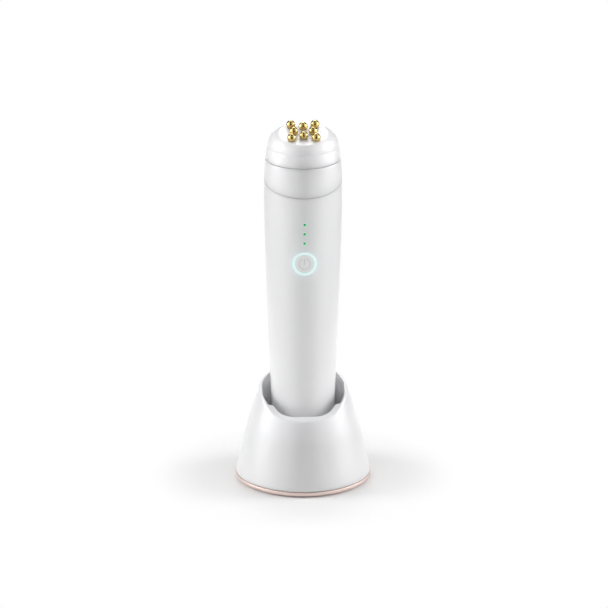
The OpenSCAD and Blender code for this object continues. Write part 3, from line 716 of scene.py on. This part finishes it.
# %% The level lights
for i, z in enumerate(level_zs, 1):
    back = -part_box(f"level_pipe_{i}")[1].y
    dot = barrel_plug(f"level_dot_{i}", level_r, back, z, 0.02 * mm, 32)
    soften(dot, 0.1 * mm)
    finish(dot, level_light)
    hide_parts(f"level_pipe_{i}")
    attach(dot, "wand")
print("level lights at", [round(z, 4) for z in level_zs])

# %% [markdown]
# ## The head
# The head ring sits on the tilted seam and the head cap on the level one. In both seams a grey seal
# lies a little below the surface, which is what makes the thin dark line. The cap's dome is spun,
# and its face is one straight cut that leans forward, with its edge rounded.

# %% The head ring and the two seals
ring_bore = barrel_r(cap_seam_z) - wand_wall - 0.4 * mm
ring_low_z = seam_z - seam_room
ring_top = cap_seam_z - seal_t
edge_r = 0.25 * mm
outside = [(barrel_r(z), z) for z in spread(ring_low_z, ring_top - edge_r, 1.5 * mm)]
top_edge = arc((barrel_r(ring_top) - edge_r, ring_top - edge_r), edge_r, 0, 90, 4)
outline = [(ring_bore, ring_low_z), *outside, *top_edge[1:], (ring_bore, ring_top),
           (ring_bore, ring_low_z)]
head_ring = lathe("neck_ring", outline)
combine(head_ring, half_space(seam_z, seam_tilt, -1, seal_t / 2))
finish(head_ring, head_pearl)
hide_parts("head_ring")
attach(head_ring, "wand")
print("head ring:", len(head_ring.data.polygons), "faces")

# %% The seals
recess = 0.16 * mm
outside = [(barrel_r(z) - recess, z) for z in spread(ring_low_z, seam_z + seam_room, 1.5 * mm)]
bore = ring_bore + 0.8 * mm
outline = [(bore, outside[0][1]), *outside, (bore, outside[-1][1]), (bore, outside[0][1])]
low_seal = lathe("tilted_seal", outline)
combine(low_seal, half_space(seam_z, seam_tilt, 1, seal_t / 2))
combine(low_seal, half_space(seam_z, seam_tilt, -1, -seal_t / 2))
top_r = barrel_r(cap_seam_z) - recess
outline = [(bore, ring_top), (top_r, ring_top), (top_r, cap_seam_z), (bore, cap_seam_z),
           (bore, ring_top)]
top_seal = lathe("level_seal", outline)
for seal, node in ((low_seal, "neck_seal"), (top_seal, "cap_seal")):
    finish(seal, seam_rubber)
    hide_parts(node)
    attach(seal, "wand")
print("seals:", low_seal.name, top_seal.name)

# %% The head cap
lower_edge = arc((barrel_r(cap_seam_z) - edge_r, cap_seam_z + edge_r), edge_r, -90, 0, 4)
band = [(barrel_r(z), z) for z in spread(cap_seam_z + edge_r, ridge_z - 0.15 * mm, 0.8 * mm)]
dome_top = ridge_z + dome_h * 0.96
dome = [(dome_outline_r(z), z) for z in spread(ridge_z + 0.1 * mm, dome_top, 0.35 * mm)]
outline = [(0, cap_seam_z), *lower_edge, *band[1:], *dome, (0, dome[-1][1])]
head_cap = lathe("cap", outline)
combine(head_cap, half_space(face_z, face_tilt, 1))
print("cap:", len(head_cap.data.polygons), "faces")

# %% [markdown]
# Only the edge between the dome and the face is rounded, so it is picked by its place: both ends of
# such an edge lie on the face's plane. The balls then get their seats, a hair wider than the balls.

# %% Round the face's edge
face_normal = Vector((0, -math.sin(face_tilt), math.cos(face_tilt)))
face_point = Vector((0, 0, face_z))


def on_face(point):
    """Whether a point lies on the plane of the cap's face."""
    return abs((point - face_point).dot(face_normal)) < 0.01 * mm


bevel_edges(head_cap, lambda a, b: on_face(a) and on_face(b), 0.45 * mm, 4, clamp=True)
print("cap with its rounded face:", len(head_cap.data.polygons), "faces")

# %% [markdown]
# ## The gold balls
# Eight balls on stems stand on the face in rows of three, two and three. One is modelled as a ball
# whose stem is extruded from its lower pole, and the others are copies with their own mesh.

# %% One ball and its copies
names = [f"electrode_{i}" for i in range(1, 9)]
ball_r = half_width(names[0])
stem_h, stem_r_share = 3.0 * mm, 0.88


def ball_centre(node):
    """The middle of a node's ball: its top and its sides are the box's."""
    low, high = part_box(node)
    return Vector(((low.x + high.x) / 2, low.y + ball_r, high.z - ball_r))


deselect()
bpy.ops.mesh.primitive_uv_sphere_add(segments=64, ring_count=40, radius=ball_r, location=(0, 0, 0))
ball = bpy.context.object
ball.name = "ball_1"
bpy.ops.object.mode_set(mode="EDIT")
bpy.ops.mesh.select_all(action="DESELECT")
bpy.ops.object.mode_set(mode="OBJECT")
for f in ball.data.polygons:
    f.select = f.center.z < -stem_r_share * ball_r
bpy.ops.object.mode_set(mode="EDIT")
bpy.ops.mesh.select_mode(type="FACE")
bpy.ops.mesh.extrude_region_move(TRANSFORM_OT_translate={"value": (0, 0, -stem_h)})
bpy.ops.object.mode_set(mode="OBJECT")
ball.rotation_euler = (face_tilt, 0, 0)
bpy.ops.object.transform_apply(rotation=True)
finish(ball, gold, 50)
print("ball radius", round(ball_r, 5), "centre", [round(c, 4) for c in ball_centre(names[0])])

# %% Place the balls and cut their seats
balls = [ball] + [copy_of(ball, f"ball_{i}") for i in range(2, 9)]
for copy, node in zip(balls, names):
    pick(copy)
    copy.location = ball_centre(node)
    bpy.ops.object.transform_apply(location=True)
    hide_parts(node)
    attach(copy, "wand")
    deselect()
    bpy.ops.mesh.primitive_uv_sphere_add(segments=48, ring_count=32, radius=ball_r + 0.12 * mm,
                                         location=ball_centre(node))
    bpy.ops.object.transform_apply(location=True)
    combine(head_cap, bpy.context.object)
finish(head_cap, head_pearl)
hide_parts("head_cap")
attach(head_cap, "wand")
print("balls:", [b.name for b in balls])

# %% [markdown]
# ## The stand
# The stand is a flared skirt cut off by a curved scoop, low in front and high behind, so its rim is
# a curve in space. Two finger pockets leave a thin rim at the sides, and a shallow recess opens in
# front of the wand. No single operator gives that, so this one piece is made another way. A flat
# grid is wrapped round: each column becomes one slice through the wall, drawn from formulas.

# %% The scoop's side view
lip_reach = skirt_r(lip_z) + 0.3 * mm
back_reach = -skirt_r(rim_back_z) - 3.8 * mm
scoop_forward = (lip_reach, lip_reach - 16.7 * mm, 26.8 * mm, back_reach)
scoop_height = (lip_z, lip_z + 3.75 * mm, rim_back_z - 12 * mm, rim_back_z)
halvings = 30


def bezier(t, a, b, c, d):
    """A point on a cubic curve."""
    s = 1 - t
    return s ** 3 * a + 3 * t * s * s * b + 3 * t * t * s * c + t ** 3 * d


def scoop_z(forward):
    """Height of the rim at a distance in front of the middle."""
    low, high = 0.0, 1.0
    for _ in range(halvings):
        t = (low + high) / 2
        if bezier(t, *scoop_forward) > forward:
            low = t
        else:
            high = t
    return bezier(low, *scoop_height)


print("rim heights:", [round(scoop_z(y * mm), 4) for y in (26, 13, 0, -13, -20)])


# %% How far the pockets and the recess reach
widest = 30 * mm
pocket_half, pocket_corner = 14 * mm, 4.5 * mm
recess_back, recess_corner = -7 * mm, 12 * mm
join = 0.9 * mm


def well_r(z):
    """Radius of the well that holds the wand."""
    return barrel_r(z) + cradle_gap


def plan_r(direction, half_side, front, back, corner):
    """Distance from the axis to the edge of a rectangle with rounded corners."""
    side, forward = direction
    near, far = 0.0, widest
    for _ in range(halvings):
        r = (near + far) / 2
        across = max(abs(side) * r - (half_side - corner), 0)
        ahead = max(forward * r - (front - corner), back + corner - forward * r, 0)
        if math.hypot(across, ahead) < corner:
            near = r
        else:
            far = r
    return near


def reaches(angle):
    """Reach of the pockets, and of the pockets and the recess together, softly joined."""
    direction = (math.sin(angle), math.cos(angle))
    pocket = plan_r(direction, pocket_reach, pocket_half, -pocket_half, pocket_corner)
    recess = plan_r(direction, recess_side, recess_reach, recess_back, recess_corner)
    near = max(join - abs(pocket - recess), 0)
    return pocket, max(pocket, recess) + near * near / (4 * join)


print("reach in front and at the side:", [round(reaches(a)[1], 4) for a in (0, math.pi / 2)])


# %% Where the walls meet the scoop
def wall_r(reach, z):
    """Radius of an inner wall: its reach, kept inside the rim and outside the well."""
    return max(min(reach, skirt_r(z) - rim_band), well_r(z))


def on_scoop(radius_at, forward):
    """Where a wall meets the scoop in one direction, as radius and height, from a first guess."""
    z = 45 * mm
    for _ in range(12):
        r = radius_at(z)
        z = scoop_z(r * forward)
    return r, z


def bend(before, corner, after, steps=6):
    """Points of a soft bend that cuts a corner, without its first point."""
    shares = [i / steps for i in range(1, steps + 1)]
    return [tuple((1 - t) ** 2 * a + 2 * t * (1 - t) * b + t * t * c
                  for a, b, c in zip(before, corner, after)) for t in shares]


def along(start, end, steps):
    """Values from start to end, without the first."""
    return [start + (end - start) * i / steps for i in range(1, steps + 1)]


print("rim in front:", [round(v, 4) for v in on_scoop(skirt_r, 1)])


# %% The outside and the rim of a slice
wall_t = 2 * mm
skirt_e = 0.35 * mm
rim_turn = 0.9 * mm


def outer_points(outer):
    """From the middle of the underside out to the wall, and up to the rim's bend."""
    under, roof = cradle_floor_z - wall_t, pocket_floor_z - 3 * mm
    well_out = well_r(wand_base) + wall_t
    points = [(0, under), (well_out, under), (well_out + 0.8 * mm, roof),
              (skirt_r(roof) - wall_t, roof), (stand_r - wall_t, skirt_z + 0.05 * mm),
              (stand_r - 1.9 * mm, skirt_z)]
    points += arc((stand_r - skirt_e, skirt_z + skirt_e), skirt_e, -90, -10, 4)
    return points + [(skirt_r(z), z) for z in along(skirt_z + 0.4 * mm, outer[1] - rim_turn, 24)]


def step_down(points, reach, inner_reach, floor_z, fillet):
    """Down a wall to a floor with a fillet, and along it to the next wall's rounded edge."""
    width = wall_r(reach, floor_z) - wall_r(inner_reach, floor_z)
    low, edge = min(fillet, width * 0.45), min(0.4 * mm, width * 0.3)
    points += [(wall_r(reach, z), z) for z in along(points[-1][1], floor_z + low, 8)]
    start = points[-1]
    points += bend(start, (start[0], floor_z), (start[0] - low, floor_z), 5)
    lip = wall_r(inner_reach, floor_z)
    points.append((lip + edge, floor_z))
    under_lip = (wall_r(inner_reach, floor_z - edge), floor_z - edge)
    points += bend(points[-1], (lip, floor_z), under_lip, 3)


print("points outside:", len(outer_points((25 * mm, 40 * mm))))


# %% One slice through the wall
def slice_outline(angle):
    """The closed outline of the wall at an angle from the front, as (radius, height)."""
    forward = math.cos(angle)
    pocket, widest = reaches(angle)
    outer = on_scoop(skirt_r, forward)
    inner = on_scoop(lambda z: wall_r(widest, z), forward)
    turn = min(rim_turn, (outer[0] - inner[0]) * 0.42)
    points = outer_points(outer)
    flat_r, flat_end = outer[0] - turn, inner[0] + turn
    points += bend(points[-1], outer, (flat_r, scoop_z(flat_r * forward)))
    points += [(r, scoop_z(r * forward)) for r in along(flat_r, flat_end, 4)]
    points += bend(points[-1], inner, (wall_r(widest, inner[1] - turn), inner[1] - turn))
    step_down(points, widest, pocket, recess_floor_z, 1.2 * mm)
    step_down(points, pocket, 0, pocket_floor_z, 1.5 * mm)
    points += [(well_r(z), z) for z in along(points[-1][1], wand_base + 1.5 * mm, 8)]
    return points + [(well_r(wand_base) - 1.5 * mm, cradle_floor_z), (0, cradle_floor_z)]


print("points in a slice:", len(slice_outline(0.0)), len(slice_outline(1.2)))

# %% Wrap the grid round the stand
columns = 360
rows = len(slice_outline(0.0))
deselect()
bpy.ops.mesh.primitive_grid_add(x_subdivisions=columns, y_subdivisions=rows - 1, size=0.1)
stand = bpy.context.object
stand.name = "stand"
grid_columns = columns + 1
coordinates = [0.0] * (len(stand.data.vertices) * 3)
for c in range(grid_columns):
    angle = 2 * math.pi * c / columns
    for r, (radius, z) in enumerate(slice_outline(angle)):
        i = 3 * (r * grid_columns + c)
        coordinates[i:i + 3] = (radius * math.sin(angle), -radius * math.cos(angle), z)
stand.data.vertices.foreach_set("co", coordinates)
bpy.ops.object.mode_set(mode="EDIT")
bpy.ops.mesh.select_all(action="SELECT")
bpy.ops.mesh.remove_doubles(threshold=2e-6)
bpy.ops.mesh.normals_make_consistent(inside=False)
bpy.ops.object.mode_set(mode="OBJECT")
print("stand:", len(stand.data.vertices), "points")

# %% Cut the inlet's slot and the seat of the pin block
inlet_low, inlet_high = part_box("inlet_shell")
inlet_gap, block_gap = 0.5 * mm, 0.1 * mm
slot_depth, seat_depth = 16 * mm, 6 * mm


def box_cutter(place, size):
    """A box for a cut, with its middle and its three sides."""
    deselect()
    bpy.ops.mesh.primitive_cube_add(size=1, location=place, scale=size)
    bpy.ops.object.transform_apply(location=True, scale=True)
    return bpy.context.object


slot_w = inlet_high.x - inlet_low.x + inlet_gap
slot_h = inlet_high.z - inlet_low.z + inlet_gap
slot_cut = box_cutter((0, inlet_high.y, middle_z("inlet_shell")), (slot_w, slot_depth, slot_h))
bevel_edges(slot_cut, lambda a, b: abs(a.y - b.y) > slot_depth / 2, slot_h / 2 - 0.02 * mm, 12)
combine(stand, slot_cut)
block_low, block_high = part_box("pin_block")
combine(stand, box_cutter((0, 0, cradle_floor_z), (
    block_high.x - block_low.x + block_gap, block_high.y - block_low.y + block_gap, seat_depth)))
finish(stand, stand_pearl, 38)
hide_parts("stand_shell")
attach(stand, "stand")
print("stand after cuts:", len(stand.data.polygons), "faces")

# %% [markdown]
# ## The trim ring and the feet
# Both are small round pieces whose rounded edges catch the light, so each is spun from an outline
# with arcs at its corners. The foot is made once and copied to its four places.

# %% The trim ring
trim_low, trim_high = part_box("trim_ring")
trim_r = trim_high.x
trim_in = half_width("base_plate")
low_e, high_e = 1.1 * mm, 0.35 * mm
outline = [(trim_in, trim_low.z), *arc((trim_r - low_e, trim_low.z + low_e), low_e, -90, 0, 10),
           *arc((trim_r - high_e, trim_high.z - high_e), high_e, 0, 90), (trim_in, trim_high.z),
           (trim_in, trim_low.z)]
trim = lathe("trim", outline)
finish(trim, rose_gold)
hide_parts("trim_ring")
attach(trim, "stand")
print("trim ring radius", round(trim_r, 4))

# %% The feet
foot_r = half_width("foot_front")
foot_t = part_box("foot_front")[1].z
foot_e = 0.35 * mm
outline = [(0, 0), *arc((foot_r - foot_e, foot_e), foot_e, -90, 0), (foot_r, foot_t), (0, foot_t)]
foot = lathe("rubber_foot_front", outline, 64)
finish(foot, foot_rubber)
for side in ("front", "right", "back", "left"):
    low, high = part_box(f"foot_{side}")
    pad = pick(copy_of(foot, f"pad_{side}"))
    pad.location = ((low.x + high.x) / 2, (low.y + high.y) / 2, 0)
    bpy.ops.object.transform_apply(location=True)
    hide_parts(f"foot_{side}")
    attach(pad, "stand")
bpy.data.objects.remove(foot)
print("feet radius", round(foot_r, 4))

# %% [markdown]
# The springs of the charging pins shorten when a pin is pressed. Each is a small circle that a
# Screw modifier winds up.

# %% The charging pins' springs
wire_r = 0.13 * mm
coil_turns = 4
for side in ("left", "right"):
    low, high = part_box(f"pin_spring_{side}")
    deselect()
    bpy.ops.mesh.primitive_circle_add(vertices=12, radius=wire_r, rotation=(math.pi / 2, 0, 0),
                                      location=((high.x - low.x) / 2 - wire_r, 0, 0))
    spring = bpy.context.object
    spring.name = f"coil_{side}"
    bpy.ops.object.transform_apply(location=True, rotation=True)
    screw = spring.modifiers.new("wind", "SCREW")
    screw.angle = 2 * math.pi * coil_turns
    screw.screw_offset = high.z - low.z - 2 * wire_r
    screw.steps = screw.render_steps = 32 * coil_turns
    bpy.ops.object.modifier_apply(modifier=screw.name)
    bpy.ops.object.mode_set(mode="EDIT")
    bpy.ops.mesh.select_mode(type="VERT")
    bpy.ops.mesh.select_all(action="SELECT")
    bpy.ops.mesh.fill_holes(sides=0)
    bpy.ops.mesh.normals_make_consistent(inside=False)
    bpy.ops.object.mode_set(mode="OBJECT")
    seat = ((low.x + high.x) / 2, (low.y + high.y) / 2, low.z)
    spring.location = (seat[0], seat[1], low.z + wire_r)
    bpy.ops.object.transform_apply(location=True)
    finish(spring, spring_steel, 50)
    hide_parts(f"pin_spring_{side}")
    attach(spring, "stand")
    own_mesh(spring)
print("springs:", len(spring.data.polygons), "faces each")

# %% [markdown]
# ## Finishes of the solids that stay
# The remaining solids already have the right shape, so they only change their material.

# %% Assign the finishes
finishes = {
    "pearl_plastic": head_pearl, "rose_gold_trim": rose_gold, "gold_plate": gold,
    "dark_plastic": dark_plastic, "frame_plastic": frame_plastic, "steel": steel,
    "spring_steel": spring_steel, "pin_brass": brass, "foot_rubber": foot_rubber,
    "seam_rubber": seam_rubber, "circuit_board": circuit_board, "lead_sheath": lead_sheath,
    "cell_wrap": cell_wrap, "ribbon_film": ribbon_film, "light_diffuser": ring_light,
    "level_light": level_light, "led_chip": led_chip,
}
slot_of = {s["node"]: s["material_slot"] for s in frame["record"]["subparts"]}
for name, obj in frame["nodes"].items():
    obj.data.materials.clear()
    obj.data.materials.append(finishes[slot_of[name]])
print("finished nodes:", len(slot_of))

# %% [markdown]
# ## Floor, light and camera
# The object stands on plain white. Near it the floor is a real surface that takes its shadow,
# lifted by a little light of its own, and further out it fades to pure white for the camera. A
# white thing in a white room has no outline, and polished gold shows whatever is round it. So the
# other rays also meet dark patches on the floor and dark sheets, which the camera doesn't see.

# %% Tests for the kind of a ray
def camera_ray(net):
    """1 for the rays that come straight from the camera."""
    return net.make("ShaderNodeLightPath", out="Is Camera Ray")


def seen_rays(net):
    """1 for the rays that show a background: from the camera, off metal and through glass."""
    rays = net.make("ShaderNodeLightPath").socket.node.outputs
    kinds = ("Is Camera Ray", "Is Glossy Ray", "Is Transmission Ray")
    camera, glossy, through = (Wire(net.tree, rays[kind]) for kind in kinds)
    return (camera + glossy + through).clip()


# %% The floor
white = (1, 1, 1, 1)
floor_white, felt_black = (0.82, 0.82, 0.82), (0.02, 0.02, 0.02)
floor_lift = 0.06
patch_edge = 2 * mm
fade_middle, fade_half = 0.0040, 0.0027
deselect()
bpy.ops.mesh.primitive_plane_add(size=6, location=(0, 0, 0))
floor = bpy.context.object
floor.name = "floor"
floor_paint, net = new_material("floor_white")
x, y, z = axes(net, place(net))


def within(value, middle, half):
    """1 where a value lies within half a width of a middle."""
    return abs(value - middle).below(half, patch_edge)


patches = (within(x, 0, 0.18) * within(y, -0.8, 0.4) + within(x, 0, 0.45) * within(y, -2.05, 0.85)
           + within(abs(x), 0.42, 0.22) * within(y, 0.22, 0.3))
paint = mix(net, (patches - camera_ray(net)).clip(), floor_white, felt_black)
lift = net.make("ShaderNodeEmission", None, {"Color": white, "Strength": floor_lift})
near = net.make("ShaderNodeAddShader", None, {
    0: net.make("ShaderNodeBsdfDiffuse", None, {"Color": paint}),
    1: net.make("ShaderNodeMixShader", None, {0: seen_rays(net), 2: lift})})
print("the fade ends", round(math.sqrt(fade_middle + fade_half), 3), "m from the middle")

# %% The floor's fade, and the world
pure = net.make("ShaderNodeEmission", None, {"Color": white, "Strength": 1.0})
shadow_zone = (x * x + y * y).below(fade_middle, fade_half)
output(floor_paint, net.make("ShaderNodeMixShader", None, {
    0: (camera_ray(net) - shadow_zone).clip(), 1: near, 2: pure}))
floor.data.materials.append(floor_paint)

world = bpy.data.worlds.new("studio")
bpy.context.scene.world = world
world.use_nodes = True
world.node_tree.nodes.clear()
sky = Wire(world.node_tree).make("ShaderNodeBackground", None, {"Color": white, "Strength": 1.0})
end = world.node_tree.nodes.new("ShaderNodeOutputWorld")
world.node_tree.links.new(sky.socket, end.inputs["Surface"])
print("floor and world ready")

# %% The dark sheets
sheet_paint, net = new_material("dark_felt")
felt = net.make("ShaderNodeBsdfDiffuse", None, {"Color": (*felt_black, 1)})
output(sheet_paint, net.make("ShaderNodeMixShader", None, {
    0: camera_ray(net), 1: felt, 2: net.make("ShaderNodeBsdfTransparent")}))


def dark_sheet(name, place, size, turn=(0, 0, 0)):
    """A flat dark sheet that the camera doesn't see, with its size and its turn in degrees."""
    deselect()
    angles = [math.radians(a) for a in turn]
    bpy.ops.mesh.primitive_plane_add(size=1, location=place, rotation=angles)
    sheet = bpy.context.object
    sheet.scale = (*size, 1)
    sheet.name = name
    sheet.data.materials.append(sheet_paint)


upright = 90
dark_sheet("sheet_front", (0, -2.95, 1.5), (2.6, 3.0), (upright, 0, 0))
dark_sheet("sheet_back", (0, 2.95, 1.0), (2.6, 2.0), (upright, 0, 0))
dark_sheet("sheet_top", (0, 0, 3.0), (1.6, 5.9))
for side, sign in (("left", -1), ("right", 1)):
    dark_sheet(f"sheet_{side}", (sign * 0.62, 0.66, 0.48), (1.0, 0.96), (upright, 0, sign * -43))
print("dark sheets ready")

# %% [markdown]
# Five square lamps light the object. Two edge lamps, a little behind its sides, draw the bright
# strips down the flanks. Two weak ones before them soften the step to the darker middle, and one
# above and behind lights the shoulders of the head and throws a short shadow forward.

# %% The lamps
lamp_aim = Vector((0, 0, 0.1))
lamp_size, lamp_far = 0.7, 1.25


def soft_lamp(name, bearing, height, watts):
    """A square lamp that faces the object, with its angles from the front and above the table."""
    data = bpy.data.lights.new(name, "AREA")
    data.shape = "SQUARE"
    data.size = lamp_size
    data.energy = watts
    lamp = bpy.data.objects.new(name, data)
    bpy.context.collection.objects.link(lamp)
    across, up = math.radians(bearing), math.radians(height)
    lamp.location = lamp_aim + lamp_far * Vector((
        math.sin(across) * math.cos(up), -math.cos(across) * math.cos(up), math.sin(up)))
    lamp.rotation_euler = (lamp_aim - lamp.location).to_track_quat("-Z", "Y").to_euler()


for side, sign in (("left", -1), ("right", 1)):
    soft_lamp(f"edge_{side}", sign * 98, 20, 9)
    soft_lamp(f"strip_{side}", sign * 75, 5, 1.7)
soft_lamp("back", 180, 45, 4.5)

# %% [markdown]
# The camera is far off with a long lens, as in product photography, so that the upright lines stay
# nearly parallel. Its lens follows from the scale of the image, so many pixels for a metre.

# %% The camera
image_width = 608
pixels_per_metre = 1930
sensor = 36
distance = 2.75
elevation = math.radians(19)
turn = math.radians(2.5)
aim = Vector((0.0005, 0, 0.0943))
away = Vector((-math.sin(turn) * math.cos(elevation), -math.cos(turn) * math.cos(elevation),
               math.sin(elevation)))
camera_data = bpy.data.cameras.new("camera")
camera_data.sensor_width = sensor
camera_data.lens = sensor * distance * pixels_per_metre / image_width
camera_data.clip_end = 20
camera = bpy.data.objects.new("camera", camera_data)
bpy.context.collection.objects.link(camera)
camera.location = aim + away * distance
camera.rotation_euler = (-away).to_track_quat("-Z", "Y").to_euler()
bpy.context.scene.camera = camera
bpy.context.scene.view_settings.view_transform = "Standard"
print("lens", round(camera_data.lens, 1), "mm")
